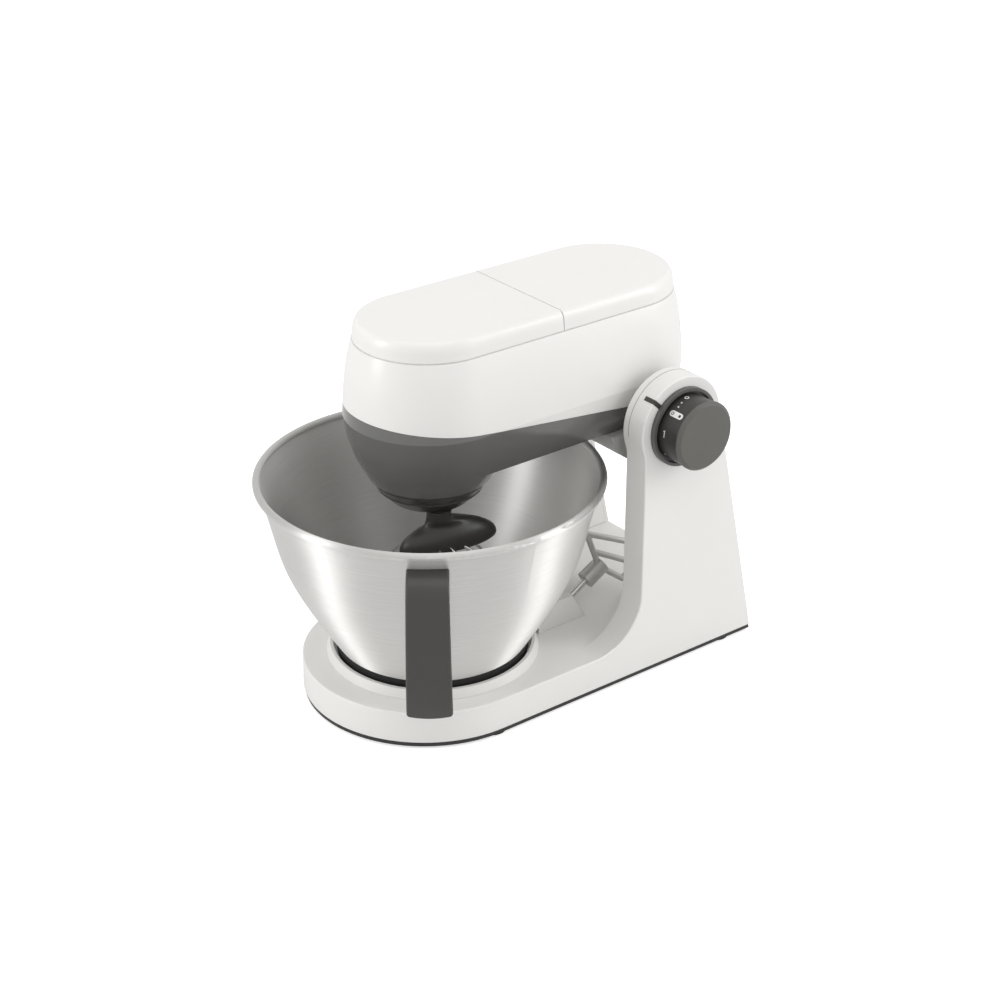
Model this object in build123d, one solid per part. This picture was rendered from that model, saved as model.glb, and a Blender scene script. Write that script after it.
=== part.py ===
from build123d import *
import math
import os

os.makedirs("parts", exist_ok=True)

# Sizes in millimetres, modelled about the bowl axis: +X to the dial, +Y to the rear, +Z up

# Bowl
RIM_R = 122.0
RIM_Z = 167.0
RIM_BEAD = 2.6
BOWL_WALL = 1.0
BOWL_FOOT_R = 68.5
BOWL_FLOOR_Z = 40.0
FOOT_RING_WIDTH = 10.0
BAYONET_R = 40.5
BAYONET_WALL = 4.5
LUG_REACH = 4.5
LUG_THICK = 3.0
LUG_SPAN = 30.0
TAB_SPAN = 40.0
BAYONET_SPOTS = (0, 120, 240)
BAYONET_PLAY = 1.0
BOWL_SHAPE = (
    (0.0, 0.0),
    (0.244, 0.161),
    (0.466, 0.322),
    (0.690, 0.523),
    (0.843, 0.764),
    (1.0, 1.0),
)

# Bowl handle
HANDLE_AZIMUTH = -37.0
HANDLE_WIDTH = 31.0
HANDLE_TOP_WIDTH = 27.6
HANDLE_THICK = 6.5
HANDLE_REACH = 19.0
HANDLE_TOP_DROP = 10.6
HANDLE_BOTTOM_Z = 45.0
HANDLE_BEND = 18.0
HANDLE_FALL = 35.0
HANDLE_BOW = 0.78
HANDLE_TIP_SAG = 2.6
HANDLE_CORNER = 3.0
HANDLE_EDGE = 1.6
RIVET_R = 2.4
RIVET_SPREAD = 9.0
RIVET_REACH = 3.0

# Stand
BASE_HALF = 89.0
BASE_FRONT_Y = -5.0
BASE_REAR_Y = 229.0
BASE_TOP = 29.0
BASE_ROUND = 1.0
FOOT_HEIGHT = 2.0
FOOT_R = 10.0
FOOT_X = 77.0
FOOT_FRONT_Y = -6.0
FOOT_REAR_Y = 204.0
PLATE_T = 3.5
PLATE_INSET = 0.8
SHELL_WALL = 3.0
LEG_THICK = 20.0
LEG_FRONT_Y = 119.0
LEG_TOP_R = 36.0
LEG_SWEEP = 40.0
LEG_BLEND = 25.0
COVER_T = 2.5
COVER_GAP = 0.15
SEAT_T = 2.0
SEAT_GAP = 2.3
SEAT_FLARE = 2.8
SEAT_LIP = 2.4
SEAT_LIP_H = 4.5
SCREW_R = 1.5
SCREW_HEAD_R = 3.0
SCREW_HEAD_H = 1.6
BOSS_R = 4.0
SCREW_BITE = 4.0
COVER_SCREW_Z = 95.0
COVER_SCREW_FRONT = 12.0
COVER_SCREW_REAR = 38.0
BASE_SCREW_SPOTS = ((60.0, -30.0), (40.0, 205.0), (78.0, 90.0))
BASE_SCREW_TOP = 9.0
GLAND_X = -45.0
GLAND_RISE = 9.0
GLAND_R = 5.5
GLAND_BORE_R = 3.2
GLAND_FLANGE_R = 8.0
GLAND_LEN = 9.0
GLAND_SET_IN = 0.5
GLAND_FLANGE_T = 3.0
BOARD_HALF = 28.0
BOARD_FRONT_Y = 125.0
BOARD_REAR_Y = 185.0
BOARD_T = 1.6
BOARD_RISE = 5.0
BOARD_POST_R = 2.5
BOARD_POST_INSET = 4.0
FILTER_SIZE = 20.0
FILTER_H = 10.4
CAPACITOR_R = 6.0
CAPACITOR_H = 11.4

# Hinge
HINGE_Y = 151.0
HINGE_Z = 191.5
PIN_R = 9.0
BUSH_R = 12.0
LUG_R = 17.0
LUG_X = 38.0
LUG_WIDTH = 8.0
BARREL_R = 21.0
FAIRING_R = 38.0
FAIRING_HALF = 57.0
BARREL_WALL = 3.0
BARREL_GAP = 0.5
BRACKET_T = 3.0
BRACKET_WIDTH = 24.0
BRACKET_FOOT = 10.0
BRACKET_TOP_R = 27.0
PIN_HEAD = 1.5
PIN_HEAD_T = 2.0
ARM_DROP = 8.0
ARM_LAP = 30.0
TILT_DEG = 50.0
BOLT_R = 3.5
BOLT_ORBIT = 16.0
BOLT_LEN = 13.0
BOLT_SET_BACK = 0.3
BOLT_FLANGE = 1.5
BOLT_FLANGE_T = 2.0
SPRING_TURNS = 4
SPRING_WIRE = 0.4
RUN_GAP = 0.05
FREE_GAP = 0.4
OVERCUT = 1.0

# Dial
DIAL_R = 25.1
DIAL_LEN = 23.4
DIAL_WALL = 2.4
CAP_T = 3.0
CAP_PROUD = 0.7
CAP_CHAMFER = 2.2
DIAL_BOSS = 3.0
DIAL_WEB = 2.0
BEZEL_R = 28.7
BEZEL_T = 4.0
BEZEL_INNER_R = 26.4
BEZEL_FLOOR = 0.8
DIAL_SHAFT_R = 3.0
ENCODER_R = 10.0
ENCODER_LEN = 8.0
ENCODER_BUSH_R = 4.5
ENCODER_BACK = 2.0
INDEX_ANGLE = 47.0
INDEX_LEN = 8.5
INDEX_WIDTH = 3.2
INDEX_DEPTH = 0.9
INDEX_RISE = 0.2

# Head
HEAD_HALF = 58.8
HEAD_WALL = 2.5
HEAD_TOP = 282.0
SEAM_Z = 268.0
SIDE_LOW_Z = 214.0
HULL_FLOOR_Z = 180.0
SPLIT_Z = 216.0
SPLIT_SLOPE = 0.1235
CROSS_SEAM_Y = 76.0
SEAM_GROOVE = 0.6
HEAD_POST_X = 33.0
HEAD_POST_YS = (36.0, 98.0)
HULL_SHAPE = (
    (1.0, 0.0),
    (0.970, 0.234),
    (0.945, 0.383),
    (0.9075, 0.532),
    (0.862, 0.681),
    (0.8015, 0.83),
    (0.7228, 1.0),
)
SIDE_SHAPE = ((1.0, 0.0), (0.985, 0.28), (0.944, 0.66), (0.872, 1.0))
CROWN_SHAPE = ((0.866, 0.06), (0.857, 0.45), (0.833, 0.82), (0.79, 1.0))

# Planetary drive
NOSE_Z = 167.0
HUB_TOP_R = 40.0
HUB_TOP_Z = 167.5
HUB_SHOULDER = 3.0
HUB_LIP_R = 36.6
HUB_LIP_Z = 158.0
HUB_BOTTOM_R = 29.2
HUB_BOTTOM_Z = 149.5
HUB_FLOOR = 2.0
HUB_CORNER = 1.5
HUB_STEP = 1.0
BUSH_SET_IN = 1.0
ORBIT = 22.0
ORBIT_ANGLE = -21.0
RING_TEETH = 60
PLANET_TEETH = 16
PLANET_MODULE = 1.0
PLANET_FACE = 8.0
MAIN_TEETH = 50
PINION_TEETH = 14
DRIVE_MODULE = 1.25
DRIVE_FACE = 8.0
BACKLASH = 0.14
PRESSURE_DEG = 20.0
TOOTH_ROOT = 1.25
TOOTH_TIP = 0.95
MESH_TURN = 90.0
RING_RISE = 1.5
RING_RIM = 4.5
RING_WEB = 3.0
MAIN_SHAFT_R = 5.0
SPINDLE_R = 4.5
SPINDLE_BUSH_R = 6.5
LAYSHAFT_R = 3.0
BEARING_R = 11.0
BEARING_H = 7.0
LAY_BEARING_R = 8.0
LAY_BEARING_H = 5.0
BEARING_BOSS = 4.0
LAY_BOSS = 3.0
CHASSIS_Z = 193.0
CHASSIS_T = 4.0
CHASSIS_HALF = 46.0
COVER_PLATE_T = 3.0
COVER_PLATE_HALF = 46.0
GEAR_ROOM = 14.0
PILLAR_R = 4.0
PILLAR_SPOTS = ((-40.5, 0.0), (40.5, 0.0), (-30.0, 50.0), (30.0, 50.0))
CHASSIS_TAIL = 25.0
COVER_PLATE_FRONT = -14.0
COVER_PLATE_TAIL = 15.0
GEAR_SCREW_DEPTH = 8.0
CHASSIS_SCREW_FLOOR = 5.0
BELT_RATIO = 4.5
MOTOR_PULLEY_R = 6.0
PULLEY_H = 11.0
PULLEY_FLANGE = 1.5
PULLEY_RISE = 6.0
BELT_T = 1.6
BELT_W = 8.0
BELT_GAP = 0.15
MOTOR_Y = 87.0
MOTOR_R = 29.0
MOTOR_WALL = 2.0
MOTOR_H = 44.0
MAGNET_T = 4.5
ROTOR_R = 21.5
MOTOR_SHAFT_R = 2.5
MAGNET_END = 8.0
MAGNET_SPAN = 120.0
CORE_LOW = 9.0
CORE_HIGH = 12.0
COMMUTATOR_R = 9.0
COMMUTATOR_GAP = 1.0
SLOT_COUNT = 8
SLOT_DEPTH = 6.0
SLOT_WIDTH = 3.0
SHAFT_FLOOR = 0.8
SHAFT_POCKET = 0.5

# Whisk
WHISK_R = 43.0
WHISK_MID_Z = 90.0
WHISK_TOP_R = 11.0
WHISK_WIRE_R = 0.95
WHISK_LOOPS = 5
WHISK_STAGGER = 2.3
NECK_R = 8.6
DOME_LONG = 36.8
DOME_SHORT = 13.5
DOME_TOP_Z = 140.0
DOME_H = 19.7
DOME_TURN = 80.0
DOME_SHIFT = 7.0
DOME_SHAPE = ((0.93, 1.0), (1.0, 0.82), (0.9, 0.55), (0.6, 0.18), (0.25, 0.0))
WIRE_BURY = 4.0
SPINDLE_BURY = 2.0
NECK_BURY = 0.6

# Stored tools and their rack
RACK_HALF = 35.0
RACK_FRONT_Y = 66.0
RACK_GAP = 1.5
RACK_TOP = 50.0
TOOL_LEAN = 30.0
TOOL_X = 21.0
MOUTH_Y = 107.0
MOUTH_Z = 38.4
TOOL_SHAFT_R = 2.6
SOCKET_DEPTH = 11.0
SOCKET_GAP = 0.3
TOOL_NECK = 19.7
TOOL_HUB_R = 6.8
TOOL_HUB_LEN = 18.0
BEATER_BAR_R = 2.3
HOOK_ROD_R = 3.6
HOOK_REACH = 26.0
HOOK_LEAD = 5.0
HOOK_BURY = 8.0
HOOK_HUB_EXTRA = 1.5
HOOK_GUARD_T = 5.0
RACK_SLOPE = 9.0
SHAFT_IN_HUB = 6.0
BEATER_SHAPE = {
    "hub": (0.0, -3.0),
    "shoulder": (33.0, 2.0),
    "toe": (-26.0, 42.0),
    "heel": (-27.0, 8.0),
    "rib_top": (15.6, -1.0),
    "rib_end": (-26.5, 24.0),
}

# Values that follow from the sizes above
BOWL_Y = (RIM_R - BASE_REAR_Y) / 2
BEAD_R = RIM_R - RIM_BEAD
BEAD_Z = RIM_Z - RIM_BEAD
SHELL_BOTTOM = FOOT_HEIGHT + PLATE_T
LEG_IN = BASE_HALF - LEG_THICK
LEG_WALL_X = BASE_HALF - SHELL_WALL
COVER_X = LEG_IN + COVER_T
SEAT_TOP = BASE_TOP + SEAT_T
SEAT_TOP_R = BOWL_FOOT_R + SEAT_GAP + SEAT_LIP
SEAT_R = SEAT_TOP_R + SEAT_FLARE
SOCKET_R = BAYONET_R + LUG_REACH + BAYONET_PLAY
LUG_Z = BASE_TOP - LUG_THICK - BAYONET_PLAY
CHASSIS_TOP = CHASSIS_Z + CHASSIS_T
COVER_PLATE_Z = CHASSIS_TOP + GEAR_ROOM
LAY_Y = DRIVE_MODULE * (MAIN_TEETH + PINION_TEETH) / 2
LAY_PULLEY_R = MOTOR_PULLEY_R * BELT_RATIO
PULLEY_Z = CHASSIS_TOP + MOTOR_H + PULLEY_RISE
GEAR_Z = CHASSIS_TOP + (GEAR_ROOM - DRIVE_FACE) / 2
ORBIT_X = ORBIT * math.cos(math.radians(ORBIT_ANGLE))
ORBIT_Y = ORBIT * math.sin(math.radians(ORBIT_ANGLE))
RING_Z = HUB_TOP_Z + RING_RISE
RING_R = PLANET_MODULE * RING_TEETH / 2 + RING_RIM
BOSS_RING_R = BEARING_R + BEARING_BOSS
SPLIT_DEG = math.degrees(math.atan(SPLIT_SLOPE))
FAR = 600.0
NEAR = 0.01


def save(name, shape):
    export_step(Pos(0, BOWL_Y, 0) * shape, f"parts/{name}.step")


def group(shapes):
    return Compound(children=[s.solid() for s in shapes])


def disc(radius, z0, z1, x=0.0, y=0.0):
    return Pos(x, y, (z0 + z1) / 2) * Cylinder(radius, z1 - z0)


def tube(outer, inner, z0, z1, x=0.0, y=0.0):
    return disc(outer, z0, z1, x, y) - disc(inner, z0, z1, x, y)


def bar_x(radius, x0, x1, y=HINGE_Y, z=HINGE_Z):
    return Pos((x0 + x1) / 2, y, z) * Rot(0, 90, 0) * Cylinder(radius, abs(x1 - x0))


def tube_x(outer, inner, x0, x1, y=HINGE_Y, z=HINGE_Z):
    return bar_x(outer, x0, x1, y, z) - bar_x(inner, x0, x1, y, z)


def block(x0, x1, y0, y1, z0, z1):
    centre = Pos((x0 + x1) / 2, (y0 + y1) / 2, (z0 + z1) / 2)
    return centre * Box(x1 - x0, y1 - y0, z1 - z0)


def turned(points):
    ring = Polyline(*[(r, 0, z) for r, z in points], close=True)
    return revolve(make_face(ring), Axis.Z)


def rod(start, end, radius):
    a = Vector(*start)
    b = Vector(*end)
    length = (b - a).length
    seat = Plane(origin=a, z_dir=b - a)
    return seat * Cylinder(radius, length, align=(Align.CENTER, Align.CENTER, Align.MIN))


def side_plate(outline, x0, x1):
    wall = extrude(Plane.YZ * outline, x1 - x0)
    return Pos(x0, 0, 0) * wall


def wedge(radius, span, middle):
    half = math.radians(span / 2)
    turn = math.radians(middle)
    reach = radius / math.cos(half)
    tip_a = (reach * math.cos(turn - half), reach * math.sin(turn - half))
    tip_b = (reach * math.cos(turn + half), reach * math.sin(turn + half))
    return make_face(Polyline((0, 0), tip_a, tip_b, close=True))


def capsule(edges, y_front, y_rear):
    half = make_face(edges)
    nose = revolve(Pos(0, y_front, 0) * half, Axis((0, y_front, 0), (0, 0, 1)), -180)
    tail = revolve(Pos(0, y_rear, 0) * half, Axis((0, y_rear, 0), (0, 0, 1)), 180)
    both = half + mirror(half, Plane.YZ)
    length = y_rear - y_front
    middle = extrude(Pos(0, y_front, 0) * both, amount=length, dir=(0, 1, 0))
    return nose + tail + middle


def involute(angle):
    return math.tan(angle) - angle


def tooth_half_angle(radius, pitch, teeth, share):
    press = math.radians(PRESSURE_DEG)
    base = pitch * math.cos(press)
    here = math.acos(min(1.0, base / max(radius, base)))
    return math.pi / (2 * teeth) * share + involute(press) - involute(here)


def gear_outline(teeth, module, low, high, share, turn):
    pitch = module * teeth / 2
    radii = (pitch - low * module, pitch, pitch + high * module)
    points = []
    for tooth in range(teeth):
        middle = math.radians(turn) + 2 * math.pi * tooth / teeth
        for side, order in ((-1, radii), (1, radii[::-1])):
            for radius in order:
                angle = middle + side * tooth_half_angle(radius, pitch, teeth, share)
                points.append((radius * math.cos(angle), radius * math.sin(angle)))
    return make_face(Polyline(*points, close=True))


def gear(teeth, module, face, turn):
    return extrude(gear_outline(teeth, module, TOOTH_ROOT, TOOTH_TIP, 1 - BACKLASH, turn), face)


# Bowl
def bowl_wall(inset, rise):
    flare = BEAD_R - BOWL_FOOT_R
    height = BEAD_Z - BOWL_FLOOR_Z - rise
    return [(BOWL_FOOT_R + f * flare - inset, 0, BOWL_FLOOR_Z + rise + t * height) for f, t in BOWL_SHAPE]


outer_wall = bowl_wall(0, 0)
inner_wall = bowl_wall(BOWL_WALL, BOWL_WALL)
bowl_outside = [
    Line((0, 0, BOWL_FLOOR_Z), outer_wall[0]),
    Spline(*outer_wall),
    Line(outer_wall[-1], (0, 0, BEAD_Z)),
    Line((0, 0, BEAD_Z), (0, 0, BOWL_FLOOR_Z)),
]
bowl_inside = [
    Line((0, 0, BOWL_FLOOR_Z + BOWL_WALL), inner_wall[0]),
    Spline(*inner_wall),
    Line(inner_wall[-1], (0, 0, BEAD_Z)),
    Line((0, 0, BEAD_Z), (0, 0, BOWL_FLOOR_Z + BOWL_WALL)),
]
bowl_form = revolve(make_face(bowl_outside), Axis.Z)
bowl_room = revolve(make_face(bowl_inside), Axis.Z)
bead = Pos(0, 0, BEAD_Z) * Torus(BEAD_R, RIM_BEAD)
bowl = bowl_form - bowl_room + bead

# Handle
handle_in = BEAD_R - HANDLE_REACH
handle_out = BEAD_R + HANDLE_REACH
handle_top = BEAD_Z - HANDLE_TOP_DROP
handle_low_r = BEAD_R + HANDLE_REACH / 4


def strap_curve(inset):
    top = (handle_out - HANDLE_BEND, handle_top - inset)
    shoulder = (handle_out - inset, handle_top - HANDLE_FALL)
    low = (handle_low_r - inset, HANDLE_BOTTOM_Z)
    drop = shoulder[1] - low[1]
    half_way = (low[0] + HANDLE_BOW * (shoulder[0] - low[0]), low[1] + drop / 2)
    return [
        Line((handle_in, handle_top - inset), top),
        Spline(top, shoulder, tangents=[(1, 0), (0, -1)]),
        ThreePointArc(shoulder, half_way, low),
    ]


strap_outer = strap_curve(0)
strap_inner = strap_curve(HANDLE_THICK)
strap_ends = [
    Line(strap_outer[-1] @ 1, strap_inner[-1] @ 1),
    Line(strap_outer[0] @ 0, strap_inner[0] @ 0),
]
strap = make_face(strap_outer + strap_inner + strap_ends)
handle_turn = Rot(0, 0, HANDLE_AZIMUTH)
handle = Pos(0, HANDLE_WIDTH, 0) * extrude(Plane.XZ * strap, 2 * HANDLE_WIDTH)
half_top = HANDLE_TOP_WIDTH / 2
half_low = HANDLE_WIDTH / 2
front_low = HANDLE_BOTTOM_Z + HANDLE_TIP_SAG
front_high = BEAD_Z
front_line = [
    Line((-half_top, front_high), (half_top, front_high)),
    Line((half_top, front_high), (half_low, front_low)),
    ThreePointArc((half_low, front_low), (0, HANDLE_BOTTOM_Z), (-half_low, front_low)),
    Line((-half_low, front_low), (-half_top, front_high)),
]
front_face = make_face(front_line)
front_corners = [v for v in front_face.vertices() if v.Y < front_high - NEAR]
front_face = fillet(front_corners, HANDLE_CORNER)
handle = handle & side_plate(front_face, 0, handle_out + HANDLE_REACH)


def strap_edge(edge):
    spot = edge.center()
    share = (spot.Z - front_low) / (front_high - front_low)
    half = half_low + share * (half_top - half_low)
    on_side = abs(abs(spot.Y) - half) < NEAR
    outside = spot.X > BEAD_R + HANDLE_THICK / 2
    return on_side and outside and edge.length > HANDLE_BEND


handle = fillet([e for e in handle.edges() if strap_edge(e)], HANDLE_EDGE)
handle = handle_turn * handle - bowl_form
rivets = []
rivet_z = handle_top - HANDLE_THICK / 2
for side in (-1, 1):
    rivet_y = side * RIVET_SPREAD
    shank = rod((handle_in, rivet_y, rivet_z), (BEAD_R + RIVET_REACH, rivet_y, rivet_z), RIVET_R)
    shank = handle_turn * shank
    rivets.append(shank - bowl_room)
    handle = handle - shank
    bowl = bowl - rivets[-1]
save("mixing_bowl", bowl)
save("bowl_handle", handle)
save("handle_rivets", group(rivets))
save("bowl_foot_ring", tube(BOWL_FOOT_R, BOWL_FOOT_R - FOOT_RING_WIDTH, SEAT_TOP, BOWL_FLOOR_Z))

# Bayonet under the bowl
bayonet = tube(BAYONET_R, BAYONET_R - BAYONET_WALL, LUG_Z, BOWL_FLOOR_Z)
lug_ring = tube(BAYONET_R + LUG_REACH, BAYONET_R - BAYONET_WALL, LUG_Z, LUG_Z + LUG_THICK)
for spot in BAYONET_SPOTS:
    sector = extrude(wedge(SEAT_R, LUG_SPAN, spot), BOWL_FLOOR_Z)
    bayonet = bayonet + (lug_ring & sector)
save("bowl_bayonet", bayonet)

# Bowl seat on the stand
seat_high = SEAT_TOP + SEAT_LIP_H
seat_line = [
    (SOCKET_R, BASE_TOP),
    (SEAT_R, BASE_TOP),
    (SEAT_TOP_R, seat_high),
    (SEAT_TOP_R - SEAT_LIP, seat_high),
    (SEAT_TOP_R - SEAT_LIP, SEAT_TOP),
    (SOCKET_R, SEAT_TOP),
]
seat = turned(seat_line)
seat = seat + tube(SOCKET_R + SHELL_WALL, SOCKET_R, LUG_Z - BAYONET_PLAY, SEAT_TOP)
tab_ring = tube(SOCKET_R + SHELL_WALL, BAYONET_R + FREE_GAP, BASE_TOP, SEAT_TOP)
for spot in BAYONET_SPOTS:
    sector = extrude(wedge(SEAT_R, TAB_SPAN, spot), SEAT_TOP)
    seat = seat + (tab_ring & sector)
save("bowl_seat", seat)


# Stand
def rear_lean(inset):
    dy = BASE_REAR_Y - inset - HINGE_Y
    dz = HINGE_Z - SHELL_BOTTOM
    span = math.hypot(dy, dz)
    return math.atan2(dy, dz) - math.asin((LEG_TOP_R - inset) / span)


def leg_outline(inset):
    radius = LEG_TOP_R - inset
    lean = rear_lean(inset)
    touch = (HINGE_Y + radius * math.cos(lean), HINGE_Z + radius * math.sin(lean))
    heel = (BASE_REAR_Y - inset, SHELL_BOTTOM)
    front = LEG_FRONT_Y + inset
    reach = HINGE_Y - front
    meet = (front, HINGE_Z - math.sqrt(radius * radius - reach * reach))
    crest = (HINGE_Y, HINGE_Z + radius)
    top = BASE_TOP - inset
    sweep = LEG_SWEEP + inset
    start = (front, top + sweep)
    toe = (front - sweep, top)
    tail = (toe[0] - SHELL_WALL, top)
    curve_mid = (
        toe[0] + sweep * math.sin(math.pi / 4),
        top + sweep * (1 - math.cos(math.pi / 4)),
    )
    outline = [
        Line((tail[0], SHELL_BOTTOM), heel),
        Line(heel, touch),
        ThreePointArc(touch, crest, meet),
        Line(meet, start),
        ThreePointArc(start, curve_mid, toe),
        Line(toe, tail),
        Line(tail, (tail[0], SHELL_BOTTOM)),
    ]
    face = make_face(outline)
    corner = face.vertices().sort_by_distance(meet)[0]
    return fillet(corner, LEG_BLEND + inset)


def base_plan(inset):
    half = BASE_HALF - inset
    rear = BASE_REAR_Y + SHELL_BOTTOM
    outline = [
        Line((-half, BASE_FRONT_Y), (-half, rear)),
        Line((-half, rear), (half, rear)),
        Line((half, rear), (half, BASE_FRONT_Y)),
        ThreePointArc((half, BASE_FRONT_Y), (0, BASE_FRONT_Y - half), (-half, BASE_FRONT_Y)),
    ]
    return make_face(outline)


def base_form(inset, z0, z1):
    slab = Pos(0, 0, z0) * extrude(base_plan(inset), z1 - z0)
    lean = rear_lean(inset)
    front = BASE_FRONT_Y - BASE_HALF - FAR
    heel = BASE_REAR_Y - inset + SHELL_BOTTOM * math.tan(lean)
    room = Polyline(
        (front, 0),
        (heel, 0),
        (heel - HINGE_Z * math.tan(lean), HINGE_Z),
        (front, HINGE_Z),
        close=True,
    )
    return slab & side_plate(make_face(room), -FAR, FAR)


leg_face = leg_outline(0)
leg_room = leg_outline(SHELL_WALL)
stand = base_form(0, SHELL_BOTTOM, BASE_TOP)
stand = stand + side_plate(leg_face, LEG_IN, BASE_HALF)
stand = stand + side_plate(leg_face, -BASE_HALF, -LEG_IN)


def round_here(edge):
    spot = edge.center()
    if spot.Z < BASE_TOP - NEAR:
        return False
    on_side = abs(abs(spot.X) - BASE_HALF) < NEAR
    on_nose = spot.Y < BASE_FRONT_Y and abs(spot.Z - BASE_TOP) < NEAR
    return on_side or on_nose


stand = fillet([e for e in stand.edges() if round_here(e)], BASE_ROUND)
stand = stand - base_form(SHELL_WALL, 0, BASE_TOP - SHELL_WALL)
stand = stand - side_plate(leg_room, LEG_IN, LEG_WALL_X)
stand = stand - side_plate(leg_room, -LEG_WALL_X, -LEG_IN)
stand = stand - disc(SOCKET_R + SHELL_WALL, 0, BASE_TOP + OVERCUT)

# Leg covers with their bosses and screws
cover_face = leg_outline(SHELL_WALL + COVER_GAP)
above_base = block(-FAR, FAR, -FAR, FAR, BASE_TOP + COVER_GAP, FAR)
cover_spots = (
    (LEG_FRONT_Y + COVER_SCREW_FRONT, COVER_SCREW_Z),
    (HINGE_Y + COVER_SCREW_REAR, COVER_SCREW_Z),
)
cover_screws = []
bolt_z = HINGE_Z - BOLT_ORBIT
for side in (-1, 1):
    x0 = min(side * LEG_IN, side * COVER_X)
    cover = side_plate(cover_face, x0, x0 + COVER_T) & above_base
    cover = cover - bar_x(PIN_R + FREE_GAP, side * (LEG_IN - OVERCUT), side * (COVER_X + OVERCUT))
    for y, z in cover_spots:
        post = bar_x(BOSS_R, side * COVER_X, side * (LEG_WALL_X + OVERCUT), y, z)
        shank = bar_x(SCREW_R, side * (LEG_IN + SCREW_HEAD_H), side * (LEG_WALL_X - SCREW_BITE), y, z)
        head = bar_x(SCREW_HEAD_R, side * LEG_IN, side * (LEG_IN + SCREW_HEAD_H), y, z)
        screw = shank + head
        stand = stand + post - shank
        cover = cover - screw
        cover_screws.append(screw)
    if side > 0:
        cover = cover - bar_x(BOLT_R + FREE_GAP, LEG_IN - OVERCUT, COVER_X + OVERCUT, HINGE_Y, bolt_z)
    save("right_leg_cover" if side > 0 else "left_leg_cover", cover)
save("leg_cover_screws", group(cover_screws))

# Leg brackets and hinge pins
pins = []
half_bracket = BRACKET_WIDTH / 2
for side in (-1, 1):
    x0 = min(side * COVER_X, side * (COVER_X + BRACKET_T))
    upright = block(x0, x0 + BRACKET_T, HINGE_Y - half_bracket, HINGE_Y + half_bracket, SHELL_BOTTOM, HINGE_Z)
    bracket_top = bar_x(BRACKET_TOP_R, side * COVER_X, side * (COVER_X + BRACKET_T))
    foot_in = COVER_X - BRACKET_FOOT
    foot_out = COVER_X + BRACKET_T
    foot_x0 = min(side * foot_in, side * foot_out)
    foot = block(
        foot_x0,
        foot_x0 + foot_out - foot_in,
        HINGE_Y - half_bracket,
        HINGE_Y + half_bracket,
        SHELL_BOTTOM,
        SHELL_BOTTOM + BRACKET_T,
    )
    bracket = upright + bracket_top + foot
    pin = bar_x(PIN_R, side * (LUG_X - OVERCUT), side * foot_out)
    pin = pin + bar_x(PIN_R + PIN_HEAD, side * foot_out, side * (foot_out + PIN_HEAD_T))
    bracket = bracket - bar_x(PIN_R, side * (COVER_X - OVERCUT), side * (foot_out + OVERCUT))
    if side > 0:
        bolt_hole = bar_x(BOLT_R + FREE_GAP, COVER_X - OVERCUT, foot_out + OVERCUT, HINGE_Y, bolt_z)
        bracket = bracket - bolt_hole
    pins.append(pin)
    save("right_leg_bracket" if side > 0 else "left_leg_bracket", bracket)
save("hinge_pins", group(pins))

# Head lock bolt with its return spring
bolt_x = LEG_IN + BOLT_SET_BACK
bolt = bar_x(BOLT_R, bolt_x, bolt_x + BOLT_LEN, HINGE_Y, bolt_z)
bolt_flange_x = bolt_x + BOLT_LEN
bolt = bolt + bar_x(BOLT_R + BOLT_FLANGE, bolt_flange_x - BOLT_FLANGE_T, bolt_flange_x, HINGE_Y, bolt_z)
save("lock_bolt", bolt)
spring_len = LEG_WALL_X - bolt_flange_x - 2 * SPRING_WIRE
spring_coil = Helix(pitch=spring_len / SPRING_TURNS, height=spring_len, radius=BOLT_R)
coil_start = Plane(origin=spring_coil @ 0, z_dir=spring_coil % 0)
spring = sweep(coil_start * Circle(SPRING_WIRE), path=spring_coil, is_frenet=True)
spring_seat = Pos(bolt_flange_x + SPRING_WIRE, HINGE_Y, bolt_z) * Rot(0, 90, 0)
save("lock_spring", spring_seat * spring)

# Dial, bezel, encoder
bezel_floor_x = BASE_HALF + BEZEL_FLOOR
dial_x = bezel_floor_x + FREE_GAP
dial_end = dial_x + DIAL_LEN
bezel_x = BASE_HALF + BEZEL_T
encoder_x = LEG_WALL_X - ENCODER_LEN
encoder = bar_x(ENCODER_R, encoder_x, LEG_WALL_X)
encoder = encoder + bar_x(ENCODER_BUSH_R, LEG_WALL_X, bezel_floor_x)
encoder = encoder - bar_x(DIAL_SHAFT_R + RUN_GAP, encoder_x + ENCODER_BACK, bezel_x + OVERCUT)
save("speed_encoder", encoder)
stand = stand - bar_x(ENCODER_BUSH_R, LEG_WALL_X - OVERCUT, BASE_HALF + OVERCUT)
bezel = tube_x(BEZEL_R, BEZEL_INNER_R, BASE_HALF, bezel_x)
bezel = bezel + tube_x(BEZEL_R, ENCODER_BUSH_R, BASE_HALF, bezel_floor_x)
save("dial_bezel", bezel)
drum_end = dial_end - CAP_T
web_x = drum_end - DIAL_WEB
drum_r = DIAL_R - CAP_PROUD
drum = bar_x(drum_r, dial_x, drum_end)
drum = drum - tube_x(drum_r - DIAL_WALL, DIAL_SHAFT_R + DIAL_BOSS, dial_x - OVERCUT, web_x)
drum = drum - bar_x(DIAL_SHAFT_R, dial_x - OVERCUT, web_x)
save("speed_dial", drum)
cap = bar_x(DIAL_R, drum_end, dial_end)
cap = chamfer(cap.edges().sort_by(Axis.X)[-1], CAP_CHAMFER)
save("dial_cap", cap)
save("dial_shaft", bar_x(DIAL_SHAFT_R, encoder_x + ENCODER_BACK + FREE_GAP, web_x))

# Index mark let into the top of the right leg
round_x = BASE_HALF - BASE_ROUND
round_z = LEG_TOP_R - BASE_ROUND
mark_out = BASE_ROUND + INDEX_RISE
mark_in = mark_out - INDEX_DEPTH


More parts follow.
